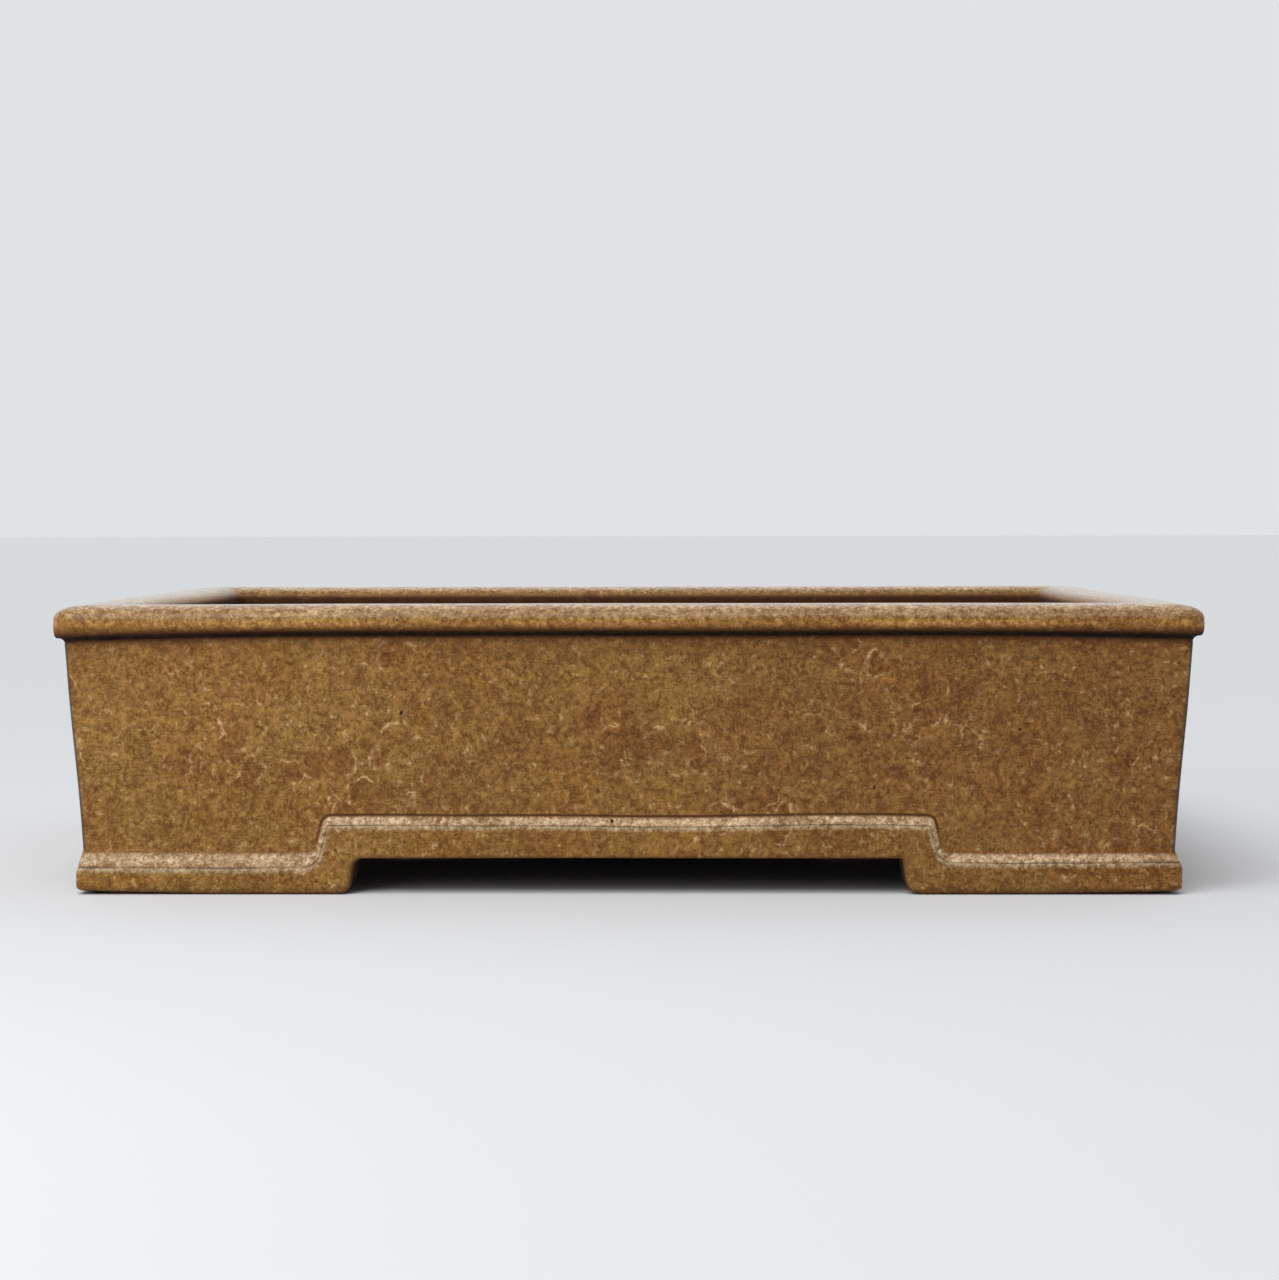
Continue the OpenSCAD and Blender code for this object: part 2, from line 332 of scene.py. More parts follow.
def makeGlaze():
    look = glazeLook
    material, tree = newMaterial("amberAshGlaze")
    place = addNode(tree, "TexCoord", {}, output="Object")
    mark = {name: addNode(tree, "Attribute", {}, output="Fac", attribute_name=name) for name in glazeMarks}
    grain = glazeGrain(tree, place, look)
    ridge, hollow = glazeRidges(tree, place, look)

    # painted shade: the right end is a little darker than the left, as the light falls from the left
    end = addNode(tree, "SeparateXYZ", {0: place}, output=0)
    fired = addNode(tree, "MapRange", {"Value": end, "From Min": float(-halfSize[0]),
                                       "From Max": float(halfSize[0]), "To Max": look["firedShare"]})
    layers = [
        (fired, look["fired"]),
        (blotches(tree, place, look["hueSize"], 0.42, 0.7, most=look["hueShare"]), look["russet"]),
        (blotches(tree, place, look["hueSize"], 0.58, 0.3, most=look["hueShare"]), look["olive"]),
        (blotches(tree, place, look["fleckSize"], 0.58, 0.7, most=look["fleckMost"]), look["fleck"])]
    for name, value in (("hollow", hollow), ("ridge", ridge)):
        share = addNode(tree, "Math", {0: value, 1: look[name + "Most"]}, operation="MULTIPLY")
        layers.append((share, look[name]))

    # each mark's edge is a little ragged by the grain
    ragged = addNode(tree, "MapRange", {"Value": grain, "From Min": 0.2, "From Max": 0.8, "To Min": 0.82,
                                        "To Max": 1.18})
    # pooled glaze going to near black where the mark is full, which is mostly painted shade under the rim
    pooled = layered(tree, linear(look["pooled"]), [(mark["pool"], look["deep"])])
    for name, most in look["most"].items():
        share = addNode(tree, "Math", {0: mark[name], 1: ragged}, operation="MULTIPLY")
        share = addNode(tree, "MapRange", {"Value": share, "To Max": most})
        layers.append((share, pooled if name == "pool" else look[name]))
    colour = layered(tree, linear(look["body"]), layers)

    # the grain multiplies the colour, and pits and bare clay go over it
    strong = addNode(tree, "Math", {0: grain, 1: look["skew"]}, operation="POWER", use_clamp=True)
    grainColour = layered(tree, look["darkest"], [(strong, look["palest"])])
    colour = addNode(tree, "Mix", {0: 1.0, 6: colour, 7: grainColour}, output=2, data_type="RGBA",
                     blend_type="MULTIPLY")
    pit = blotches(tree, place, look["pitSize"], 0.8, 0.82, detail=1)
    bareColour = clayColour(tree, place, clayLook)[0]
    colour = layered(tree, colour, [(pit, look["pit"]), (mark["bare"], bareColour)])

    relief = addNode(tree, "Math", {0: grain, 1: 0.6, 2: ridge}, operation="MULTIPLY_ADD")
    bump = addNode(tree, "Bump", {"Height": relief, "Strength": 0.5, "Distance": look["relief"]})
    smooth, satin = look["roughness"]
    rough = addNode(tree, "MapRange", {"Value": grain, "From Min": 0.3, "From Max": 0.7, "To Min": smooth,
                                       "To Max": satin})
    for share, level in ((mark["thin"], look["rubbed"]), (mark["pool"], look["dull"]),
                         (mark["bare"], clayLook["roughness"])):
        rough = addNode(tree, "Mix", {0: share, 2: rough, 3: level})
    shader = addNode(tree, "BsdfPrincipled", {
        "Base Color": colour, "Roughness": rough, "Specular IOR Level": look["specular"], "Normal": bump})
    addNode(tree, "OutputMaterial", {"Surface": shader})
    return material


glaze = makeGlaze()
clay = makeClay()
print("materials made")


# walls, rims and floor seams: a section carried along each side to the mitre at both corners

def cornerTurn(steps):
    # shares of the eighth of a turn before a mitre, closest together at the mitre
    return np.sin(np.linspace(np.pi / 2, 0, steps + 1)[:-1])


def alongSide(straight, inwards, height, radius, turnSteps):
    # rows of points along a straight run with an eighth of a turn of each row's own radius at
    # both ends: along = end + r sin(turn), inwards = in + r (1 - cos(turn)), height as at the end
    turn = cornerTurn(turnSteps) * np.pi / 4
    rows = np.broadcast_shapes(straight.shape, inwards.shape, height.shape)
    straight, inwards, height = (np.broadcast_to(values, rows) for values in (straight, inwards, height))
    sine, rise = radius[:, None] * np.sin(turn), radius[:, None] * (1 - np.cos(turn))
    along = np.concatenate([straight[:, :1] - sine, straight, straight[:, -1:] + sine[:, ::-1]], 1)
    inwards = np.concatenate([inwards[:, :1] + rise, inwards, inwards[:, -1:] + rise[:, ::-1]], 1)
    height = np.concatenate([np.repeat(height[:, :1], turnSteps, 1), height,
                             np.repeat(height[:, -1:], turnSteps, 1)], 1)
    return along, inwards, height


def alongBar(side, inwards, height, radius, step, turnSteps):
    # the same for a section that doesn't change along the side
    height, radius = (np.broadcast_to(values, inwards.shape) for values in (height, radius))
    half = halfSize[side % 2] - inwards - radius
    share = np.linspace(-1, 1, int(2 * halfSize[side % 2] / step) + 1)
    return alongSide(half[:, None] * share, inwards[:, None], height[:, None], radius, turnSteps)


def markRows(shape, **rows):
    # one value for each row, carried along it; marks that aren't given are 0
    marks = {name: np.zeros(shape) for name in glazeMarks}
    for name, values in rows.items():
        values = np.asarray(values, float)
        marks[name] = np.broadcast_to(values[:, None] if values.ndim == 1 else values, shape)
    return marks


rimShape = {
    "margin": 0.45 * mm,        # room for the hand-made waves inside the rim's full size
    "roundness": 2.4,           # exponent of the dome, where 2 is an ellipse
    "drop": 6.6 * mm,           # from the crest to the widest point
    "innerLowRadius": 4 * mm,
    "outerCorner": 9 * mm, "crestCorner": 3.5 * mm, "innerCorner": 5 * mm,      # radii in plan
    "sag": [2.0 * mm, 1.3 * mm, 1.4 * mm, 1.6 * mm], "sagLength": 110 * mm,     # at each corner
    "sagBelow": 12 * mm,        # how far down the wall it dies out
    "domeSteps": 48, "step": 4 * mm, "turnSteps": 14,
}


def cornerSag(side, along):
    # how far the rim's lower edge hangs at a point along a side, by the square of the way to a corner
    sag, length = rimShape["sag"], rimShape["sagLength"]
    start = halfSize[side % 2] - length
    nearLeft, nearRight = (np.clip((way * along - start) / length, 0, 1) for way in (-1, 1))
    return sag[side] * nearLeft ** 2 + sag[(side + 1) % 4] * nearRight ** 2


def makeRim(side):
    # dome |x / a|^n + |z / b|^n = 1 above the widest points; outside, a quarter ellipse under it
    # runs in to the top of the cove that the wall ends in; inside, a quarter circle and a flat
    shape = rimShape
    margin, innerRadius, cove = shape["margin"], shape["innerLowRadius"], wallShape["neckRadius"]
    grooveIn, grooveZ = wallShape["topIn"] - cove, wallShape["neckStart"] + cove
    widestZ = rimZ - margin - shape["drop"]
    middle, reach = rimWide / 2, rimWide / 2 - margin
    innerEnd = rimWide - margin - innerRadius
    t = np.linspace(0, np.pi, shape["domeSteps"] + 1)
    power = 2 / shape["roundness"]
    a = quarterTurn(9)
    coveTurn = np.linspace(coveAtNeck(), np.pi / 2, 7)[:-1]
    coveEnd = grooveIn + cove * np.cos(coveTurn[0])
    flat = np.linspace(innerEnd, coveEnd, 9)[1:-1]
    inwards = np.concatenate([
        grooveIn + cove * np.cos(coveTurn), grooveIn - (grooveIn - margin) * np.sin(a),
        middle - reach * np.sign(np.cos(t)) * np.abs(np.cos(t)) ** power,
        innerEnd + innerRadius * np.cos(a), flat])
    height = np.concatenate([
        grooveZ - cove * (1 - np.sin(coveTurn)), grooveZ + (widestZ - grooveZ) * (1 - np.cos(a)),
        widestZ + shape["drop"] * np.sin(t) ** power,
        neckZ + innerRadius * (1 - np.sin(a)), np.full(len(flat), neckZ)])
    radius = np.concatenate([
        np.full(len(coveTurn), wallShape["arrisAtRim"]),
        np.interp(a, [0, a[-1]], [wallShape["arrisAtRim"], shape["outerCorner"]]),
        np.interp(t, [0, np.pi / 2, np.pi],
                  [shape["outerCorner"], shape["crestCorner"], shape["innerCorner"]]),
        np.interp(a, [0, a[-1]], [shape["innerCorner"], wallShape["arrisAtRim"]]),
        np.full(len(flat), wallShape["arrisAtRim"])])
    along, inwards2, height2 = alongBar(side, inwards, height, radius, shape["step"], shape["turnSteps"])
    hang = 1 - smoothStep(height, grooveZ, widestZ)
    height2 = height2 - hang[:, None] * cornerSag(side, along)

    # marks by height: outside, pooled glaze and painted shade in the groove, a painted highlight on the
    # roll, a greyish painted reflection above that and thin glaze with a painted highlight at the crest;
    # inside, painted shade from under the shoulder down to the bare neck
    up = (height - neckZ) / (rimZ - neckZ)
    outer = inwards < middle
    wander = unevenLine(along, 20 + side, 0.5, 40 * mm, 240 * mm) * awayFromMitre(side, along)
    upHere = up[:, None] + 0.03 * wander
    marks = markRows(
        along.shape,
        thin=smoothStep(up, 0.74, 1.0),
        # a painted highlight band on the roll, where the light is reflected
        gold=outer[:, None] * smoothStep(upHere, 0.28, 0.42) * (1 - smoothStep(upHere, 0.46, 0.64))
        * np.clip(0.6 + 0.8 * wander, 0.2, 1),
        ash=outer[:, None] * smoothStep(upHere, 0.5, 0.72) * (1 - smoothStep(upHere, 0.8, 0.95)) * 0.4,
        # outside, pooled glaze and painted shade under the roll; inside, painted shade
        pool=np.where(outer, (1 - smoothStep(up, 0.15, 0.48)) * (0.6 + 0.4 * smoothStep(up, 0, 0.1)),
                      0.85 - 0.85 * smoothStep(up, 0.58, 0.8)),
        bare=np.where(outer, 0, 1 - smoothStep(up, 0.1, 0.3)))
    points = onSide(side, along, inwards2, height2)
    addPiece(sides[side] + "_rim", points, closedGrid(*along.shape), glaze, marks)


wallShape = {
    "topIn": 5 * mm, "thick": liningInTop - wallInLow, "neckRadius": 2.5 * mm,
    "neckStart": neckZ - 0.2 * mm, "sway": 0.2 * mm,
    "arris": 2.2 * mm, "arrisAtRim": 3 * mm, "innerFillet": 2 * mm,
    "rows": 54, "step": 2.5 * mm, "turnSteps": 9,
}


def coveAtNeck():
    # how far round its quarter turn the cove has come at the neck, where the rim takes over
    return np.arcsin((neckZ - wallShape["neckStart"]) / wallShape["neckRadius"])


def makeWall(side):
    # the outer face by wallIn, the start of the cove under the rim, a flat top, a small inner cove
    # and the straight inner face
    shape = wallShape
    neck, fillet = shape["neckRadius"], shape["innerFillet"]
    a = quarterTurn(8)
    coveTurn = np.linspace(0, coveAtNeck(), 5)[1:]
    faceZ = np.linspace(floorUnder, shape["neckStart"], shape["rows"] + 1)
    innerZ = np.linspace(neckZ - fillet, floorUnder, 16)[1:]
    inwards = np.concatenate([
        wallIn(faceZ), shape["topIn"] - neck * (1 - np.cos(coveTurn)),
        liningIn(neckZ) + fillet * (1 - np.sin(a)), liningIn(innerZ)])
    height = np.concatenate([
        faceZ, shape["neckStart"] + neck * np.sin(coveTurn), neckZ - fillet * (1 - np.cos(a)), innerZ])
    outerRows = len(faceZ) + len(coveTurn)
    radius = np.where(np.arange(len(height)) < outerRows,
                      shape["arris"] + (shape["arrisAtRim"] - shape["arris"])
                      * smoothStep(height, shape["neckStart"], neckZ), 0.5 * mm)
    along, inwards2, height2 = alongBar(side, inwards, height, radius, shape["step"], shape["turnSteps"])
    outer = (np.arange(len(height)) < outerRows)[:, None]
    drop = cornerSag(side, along) * smoothStep(height2, neckZ - rimShape["sagBelow"], neckZ)
    height2 = height2 - outer * drop
    below = neckZ - height2 - drop + unevenLine(along, 30 + side, 0.3 * mm) * awayFromMitre(side, along)
    toArris = halfSize[side % 2] - inwards[:, None] - abs(along)

    # marks: pooled glaze and painted shade in the cove and for a few millimetres under it, painted shade at
    # the arrises, bare inside
    marks = markRows(
        along.shape,
        pool=outer * (0.5 - 0.38 * smoothStep(below, 0, 1.4 * mm)
                      - 0.12 * smoothStep(below, 3 * mm, 7 * mm)),
        # painted shade along the arrises
        soot=outer * 0.85 * (1 - smoothStep(toArris, 0.7 * mm, 1.9 * mm)),
        bare=np.broadcast_to(~outer, along.shape))
    points = onSide(side, along, inwards2, height2)
    addPiece(sides[side] + "_wall", points, closedGrid(*along.shape), glaze, marks)


seamShape = {
    "radius": 8 * mm, "press": 0.42 * mm, "thumb": 17 * mm,     # dents a thumb's width apart
    "buried": 0.4 * mm, "arcSteps": 10, "step": 2.5 * mm, "turnSteps": 9,
}


def thumbMarks(along, seed):
    phase = 2 * np.pi * along / seamShape["thumb"] + unevenLine(along, seed, 0.8)
    return seamShape["press"] * np.sin(phase)


def makeFloorSeam(side):
    # a concave quarter arc from the wall to the floor, its middle dented along its length
    shape = seamShape
    a = quarterTurn(shape["arcSteps"])
    size, buried = shape["radius"], shape["buried"]
    root, top = liningIn(floorTop), liningIn(floorTop + size)
    inwards = np.concatenate([
        root + size * (1 - np.cos(a)) + (top - root) * (1 - np.sin(a)), [root - buried, top - buried]])
    height = np.concatenate([floorTop + size * (1 - np.sin(a)), [floorTop - buried, floorTop + size]])
    radius = np.concatenate([np.linspace(size, 2 * mm, len(a)), [size, size]])
    along, inwards2, height2 = alongBar(side, inwards, height, radius, shape["step"], shape["turnSteps"])
    middle = np.concatenate([np.sin(2 * a), [0, 0]])[:, None]
    level = smoothStep(halfSize[side % 2] - abs(along), 30 * mm, 45 * mm)
    dent = middle * thumbMarks(along, 50 + side) * level
    points = onSide(side, along, inwards2 + dent, height2 + dent)
    addPiece(sides[side] + "_floor_seam", points, closedGrid(*along.shape), clay)


def makeCornerSeam(corner):
    # a concave quarter arc between two walls that leans with them
    shape = seamShape
    a = quarterTurn(shape["arcSteps"])
    size, buried = shape["radius"], shape["buried"]
    height = np.linspace(floorTop + size - 1.5 * mm, neckZ, 30)[None, :]
    fromSide = np.concatenate([size * (1 - np.sin(a)), [-buried, -buried, size]])[:, None]
    fromFront = np.concatenate([size * (1 - np.cos(a)), [size, -buried, -buried]])[:, None]
    middle = np.concatenate([np.sin(2 * a), [0, 0, 0]])[:, None]
    dent = middle * thumbMarks(height, 60 + corner)
    along = liningIn(height) + fromSide + dent - halfSize[corner % 2]
    points = onSide(corner, along, liningIn(height) + fromFront + dent, height + 0 * dent)
    addPiece(corners[corner] + "_corner_seam", points, closedGrid(*points.shape[:2]), clay)


for side in range(4):
    makeRim(side)
    makeWall(side)
    makeFloorSeam(side)
    makeCornerSeam(side)
print("walls, rims and seams made")


# the stepped band round the base and the feet behind it, which share their outlines

def crossed(a, b):
    return a[..., 0] * b[..., 1] - a[..., 1] * b[..., 0]


def offsetLines(line, gaps):
    # each stretch of an open line moved to its left by its own gap, meeting its neighbours again
    way = np.diff(line, axis=0)
    way /= np.linalg.norm(way, axis=1, keepdims=True)
    left = np.stack([-way[:, 1], way[:, 0]], 1)
    start = line[:-1] + left * gaps[..., None]
    share = crossed(start[:, 1:] - start[:, :-1], way[1:]) / crossed(way[:-1], way[1:])
    meet = start[:, :-1] + way[:-1] * share[..., None]
    return np.concatenate([start[:, :1], meet, line[-1:] + (left * gaps[..., None])[:, -1:]], 1)


def roundedLines(lines, radii, steps, arcSteps):
    # straight stretches joined by arcs, the same count of points on every line; an arc turns
    # from its first spoke to its last by sin((1 - t) w) and sin(t w) over sin(w)
    corner = lines[:, 1:-1]
    back, ahead = lines[:, :-2] - corner, lines[:, 2:] - corner
    back /= np.linalg.norm(back, axis=2, keepdims=True)
    ahead /= np.linalg.norm(ahead, axis=2, keepdims=True)
    half = np.arccos((back * ahead).sum(2)) / 2
    reach = (radii / np.tan(half))[..., None]
    inner = (back + ahead) / np.linalg.norm(back + ahead, axis=2, keepdims=True)
    middle = corner + inner * (radii / np.sin(half))[..., None]
    first, last = corner + back * reach - middle, corner + ahead * reach - middle
    t = np.linspace(0, 1, arcSteps + 1)[:, None]
    sweep = (np.pi - 2 * half)[..., None, None]
    arcs = middle[:, :, None] + (first[:, :, None] * np.sin((1 - t) * sweep)
                                 + last[:, :, None] * np.sin(t * sweep)) / np.sin(sweep)
    begin = np.concatenate([lines[:, :1], arcs[:, :, -1]], 1)
    finish = np.concatenate([arcs[:, :, 0], lines[:, -1:]], 1)
    pieces = []
    for stretch, count in enumerate(steps):
        t = np.linspace(0, 1, count + 1)[:, None]
        pieces.append(begin[:, stretch, None] * (1 - t) + finish[:, stretch, None] * t)
        if stretch < len(steps) - 1:
            pieces.append(arcs[:, stretch, 1:-1])
    return np.concatenate(pieces, 1)


def spreadOver(values, steps, arcSteps):
    # a value for each stretch, level along it and passing evenly to the next round the arc
    pieces = []
    for stretch, count in enumerate(steps):
        pieces.append(np.full(count + 1, values[stretch]))
        if stretch < len(steps) - 1:
            pieces.append(np.linspace(values[stretch], values[stretch + 1], arcSteps + 1)[1:-1])
    return np.concatenate(pieces)


footShape = {"wide": 24 * mm, "cove": 4 * mm, "lean": 2.3 * mm, "buried": 0.3 * mm, "edge": 2.5 * mm,
             "innerCorner": 3 * mm, "crotch": 5 * mm, "cornerCut": 9 * mm, "arris": 0.3 * mm,
             "levels": 30, "steps": [24, 10, 24, 16, 8, 16], "arcSteps": 6}
bandShape = {
    "stepBack": 12.5 * mm, "stepLean": 3.5 * mm,
    "upperRadii": [4, 3, 1.8, 5],       # mm, at the foot and the head of each step, left to right
    "lowerRadii": [4.5, 3.8, 1.6, 5.5],   # mm, at the toe and the crook of each foot
    "rounding": [3.2, 2.6, 1.4, 2.6, 3.2],      # mm, of the lower edge on each stretch
    "lift": 0.5 * mm,           # of the upper outline over the bevel's own edge
    "bevelAtCorner": [2.0, 1.25, 1.7, 1.5],      # times the section's bevel, at each corner
    "bevelInside": [0.75, 1.25, 0.7],           # and on the step, the middle and the other step
    "arris": 2.8 * mm, "buried": 3.5 * mm, "uneven": 0.35 * mm,
    "worn": 1.6 * mm, "wornLength": 70 * mm,    # the lower edge lifts towards the corners
    "steps": [[26, 6, 84, 6, 26], [18, 6, 54, 6, 18]], "arcSteps": 8, "turnSteps": 9,
    "hairRows": [10, 11], "hairInset": 2.95 * mm,       # the fine line's rows, and where it ends
}

# the band's section below its upper outline: distance in from the outline (mm), share of the way
# from the wall's face to the band's, how far proud (mm), then the marks
bandRows = [
    (-1.60, 0.00, -0.20, {}),
    # the rows just above the bevel are darker: pooled glaze and painted shade at the wall's foot
    (-1.30, 0.00, 0.02, {"pool": 0.35}),
    (-0.90, 0.01, 0.04, {"pool": 0.8}),
    (-0.45, 0.05, 0.02, {"pool": 0.8}),
    # the thin mark on the bevel is thin glaze and partly a painted highlight where it faces the light
    (0.00, 0.16, 0.00, {"pool": 0.3, "thin": 0.25}),
    (0.40, 0.27, 0.00, {"thin": 0.8}),
    (0.90, 0.40, 0.00, {"thin": 1.0}),
    (1.60, 0.56, 0.00, {"thin": 1.0}),
    (2.20, 0.69, 0.00, {"thin": 0.75, "ash": 0.3}),
    (2.48, 0.74, 0.00, {"thin": 0.4, "ash": 0.6}),
    (2.62, 0.75, -0.09, {"ash": 0.6, "soot": 0.55}),
    (2.80, 0.77, -0.09, {"ash": 0.6, "soot": 0.55}),
    (2.95, 0.83, 0.00, {"ash": 1.0}),
    (3.50, 0.90, 0.00, {"ash": 1.0}),
    (4.10, 0.96, 0.00, {"ash": 0.6}),
    (4.70, 0.99, 0.00, {"ash": 0.1, "pool": 0.12}),
    (5.30, 1.00, 0.00, {"pool": 0.08}),
    (5.90, 1.00, 0.00, {}),
]


def bandOutlines(side):
    # corner points of the upper and the lower outline, along the side and up
    gap = footShape["cove"] + footShape["lean"] - footReach[side % 2]
    step = gap + bandShape["stepBack"]
    end = halfSize[side % 2]
    upper = [[-end, bandTall], [-step, bandTall], [bandShape["stepLean"] - step, bandTop]]
    lower = [[-end, 0], [-gap, 0], [footShape["lean"] - gap, floorUnder]]
    return [np.array(line + [[-x, z] for x, z in line[::-1]]) for line in (upper, lower)]


def bandRadii(side, name):
    # the back and the left have the front's and the right's small differences the other way round
    radii = np.array(bandShape[name]) * mm
    return radii if side < 2 else radii[::-1]


def lowerLines(side, inset):
    # the lower outline moved in by a share of its rounding, for an array of shares
    steps, arcSteps = bandShape["steps"][side % 2], bandShape["arcSteps"]
    rounding = np.array(bandShape["rounding"]) * mm
    gaps = inset[:, None] * rounding
    lines = offsetLines(bandOutlines(side)[1], gaps)
    outwards = np.array([-1, 1, 1, -1])         # an arc grows where the line turns towards the inside
    radii = bandRadii(side, "lowerRadii") + outwards * (gaps[:, :-1] + gaps[:, 1:]) / 2
    return lines, np.maximum(radii, 0.4 * mm), spreadOver(rounding, steps, arcSteps)


def makeBand(side):
    # rows that follow the upper outline moved in, rows across the face between the two outlines,
    # rows round the lower edge, a * (1 - sin) up and a * (1 - cos) in, and two rows behind
    shape = bandShape
    steps, arcSteps = shape["steps"][side % 2], shape["arcSteps"]
    inset, share, proud = (np.array([row[k] for row in bandRows]) for k in range(3))
    inset, proud = inset * mm, proud * mm
    back = bandIn + shape["buried"]

    # the bevel is wider or narrower on each stretch, and what lies below it isn't
    inside = shape["bevelInside"] if side < 2 else shape["bevelInside"][::-1]
    wide = np.array([shape["bevelAtCorner"][side], *inside, shape["bevelAtCorner"][(side + 1) % 4]])
    gaps = np.append(inset, inset[0])[:, None]
    gaps = gaps + np.clip(gaps, 0, shape["hairInset"]) * (wide - 1) - shape["lift"]
    upper = offsetLines(bandOutlines(side)[0], -gaps)
    inwardsGrow = np.array([1, -1, -1, 1]) * (gaps[:, :-1] + gaps[:, 1:]) / 2
    upperRadii = np.maximum(bandRadii(side, "upperRadii") + inwardsGrow, 0.8 * mm)
    a = quarterTurn(7)
    lower, lowerRadii, rounding = lowerLines(side, np.append(1 - np.sin(a), 0))

    def depthAt(height, share, proud):
        return wallIn(height) * (1 - share) + bandIn * share - proud

    # where each row's straight run ends, from its depth at the end
    upperEnd = depthAt(bandTall - gaps[:-1, [0, -1]], share[:, None], proud[:, None])
    lowerEnd = bandIn + rounding[[0, -1]] * (1 - np.cos(a[:, None]))
    arris = np.interp(share, [0, 1], [wallShape["arris"], shape["arris"]])
    for lines, ends, radii in (
            (upper, upperEnd, np.append(arris, 0.5 * mm)),
            (lower, lowerEnd, np.append(np.full(len(a), shape["arris"]), 0.5 * mm))):
        half = halfSize[side % 2] - np.append(ends, [[back, back]], axis=0) - radii[:, None]
        lines[:, 0, 0], lines[:, -1, 0] = -half[:, 0], half[:, 1]
    upper = roundedLines(upper, upperRadii, steps, arcSteps)
    lower = roundedLines(lower, lowerRadii, steps, arcSteps)
    level = awayFromMitre(side, upper[..., 0])
    upper[..., 1] -= unevenLine(upper[..., 0], 70 + side, shape["uneven"]) * level
    hair = np.isin(np.arange(len(upper)), shape["hairRows"])[:, None] * level
    upper[..., 1] += hair * unevenLine(upper[..., 0], 80 + side, 0.12 * mm, 8 * mm, 40 * mm)

    upperIn = depthAt(upper[:-1, :, 1], share[:, None], proud[:, None])
    lowerIn = bandIn + rounding * (1 - np.cos(a[:, None]))
    t = np.linspace(0, 1, 7)[1:-1, None, None]
    face = upper[-2] * (1 - t) + lower[0] * t
    lines = np.concatenate([upper[:-1], face, lower[:-1], lower[-1:], upper[-1:]])
    station = np.full((1, lines.shape[1]), back)
    inwards = np.concatenate([upperIn, np.full(face.shape[:2], bandIn), lowerIn, station, station])
    radius = np.concatenate([arris, np.full(len(face) + len(a), shape["arris"]), [0.5 * mm, 0.5 * mm]])
    along, inwards, height = alongSide(lines[..., 0], inwards, lines[..., 1], radius, shape["turnSteps"])

    rows, shareRows = len(along), len(bandRows)
    lowerStart = shareRows + len(face)
    turnDown = np.zeros(rows)
    turnDown[lowerStart:lowerStart + len(a)] = a / a[-1]
    turnDown[lowerStart + len(a)] = 1
    end = halfSize[side % 2]
    worn = shape["worn"] * smoothStep(abs(along), end - shape["wornLength"], end)
    height = height + turnDown[:, None] * worn

    # marks: each row's own, darker round the lower edge, bare at the ground and behind; the fine
    # line's soot is broken up, the thin edge is uneven, and less of the pooled glaze and painted shade over
    # the low strips
    marks = {name: [row[3].get(name, 0) for row in bandRows] for name in ("thin", "ash", "pool", "soot")}
    marks = {name: np.array(values + [0] * (rows - len(values))) for name, values in marks.items()}
    bare = smoothStep(turnDown, 0.7, 1.0)
    bare[lowerStart + len(a):] = 1
    marks["pool"] = marks["pool"] + 0.5 * smoothStep(turnDown, 0.1, 0.7) * (turnDown > 0)
    marks = markRows(along.shape, bare=bare, **marks)
    broken = unevenLine(along, 90 + side, 1.0, 12 * mm, 60 * mm)
    marks["soot"] = marks["soot"] * smoothStep(broken, -0.6, 0.2)
    wander = unevenLine(along, 95 + side, 0.2, 20 * mm, 90 * mm)
    marks["thin"] = marks["thin"] * np.clip(0.9 + wander, 0.6, 1)
    poolAndShadeHere = 0.35 + 0.65 * smoothStep(height, bandTall + 2 * mm, bandTop - 2 * mm)
    marks["pool"] = np.where(np.arange(rows)[:, None] < shareRows, marks["pool"] * poolAndShadeHere, marks["pool"])
    points = onSide(side, along, inwards, height)
    addPiece(sides[side] + "_foot_band", points, closedGrid(*along.shape), glaze, marks)


def footEnd(side, right, height):
    # where a foot ends along its side at a height, from the band's lower outline
    steps, arcSteps = bandShape["steps"][side % 2], bandShape["arcSteps"]
    lines, radii = lowerLines(side, np.zeros(1))[:2]
    line = roundedLines(lines, radii, steps, arcSteps)[0]
    line = line[::-1] if right else line
    rise = line[steps[0]:steps[0] + steps[1] + 2 * arcSteps + 1]
    return np.interp(height, rise[:, 1], rise[:, 0])


def makeFoot(corner):
    # an L-shaped outline for each level, rounded in plan, that draws in near the ground and
    # follows the leaning, coved ends of the two gaps
    shape = footShape
    before = (corner + 3) % 4
    outer = bandIn + bandShape["buried"] - shape["buried"]
    level = floorUnder / 2 * (1 - np.cos(np.linspace(0, np.pi, shape["levels"])))
    inner = wallInLow + shape["wide"] - edgeRound(level, shape["edge"])
    endA = footEnd(corner, False, level)
    endB = halfSize[before % 2] - footEnd(before, True, level)
    sideX = -halfSize[corner % 2]
    o = np.full_like(level, outer)
    cut = o + shape["cornerCut"]
    lines = np.stack([np.stack(pair, 1) for pair in (
        (sideX + cut, o), (endA, o), (endA, inner), (sideX + inner, inner), (sideX + inner, endB),
        (sideX + o, endB), (sideX + o, cut))], 1)
    radii = np.array([shape[name] for name in ("arris", "innerCorner", "crotch", "innerCorner", "arris")])
    radii = np.broadcast_to(radii, (len(level), len(radii)))
    loops = roundedLines(lines, radii, shape["steps"], shape["arcSteps"]).transpose(1, 0, 2)
    points = onSide(corner, loops[..., 0], loops[..., 1], level[None, :])
    addPiece(corners[corner] + "_foot", points, closedGrid(*points.shape[:2]), clay)


def edgeRound(height, radius):
    # how far a rounded lower edge draws in: a - sqrt(a^2 - (a - z)^2) below a
    short = np.clip(radius - height, 0, radius)
    return radius - np.sqrt(radius ** 2 - short ** 2)


for side in range(4):
    makeBand(side)
    makeFoot(side)
print("band and feet made")


# floor slab: six cells, each a grid from a rectangle's edge to its own hole and down through it

floorShape = {"drainRound": 2.5 * mm, "wireRound": 0.8 * mm, "across": 26, "along": 12,
              "rings": [0, 0.2, 0.4, 0.6, 0.78, 0.92]}


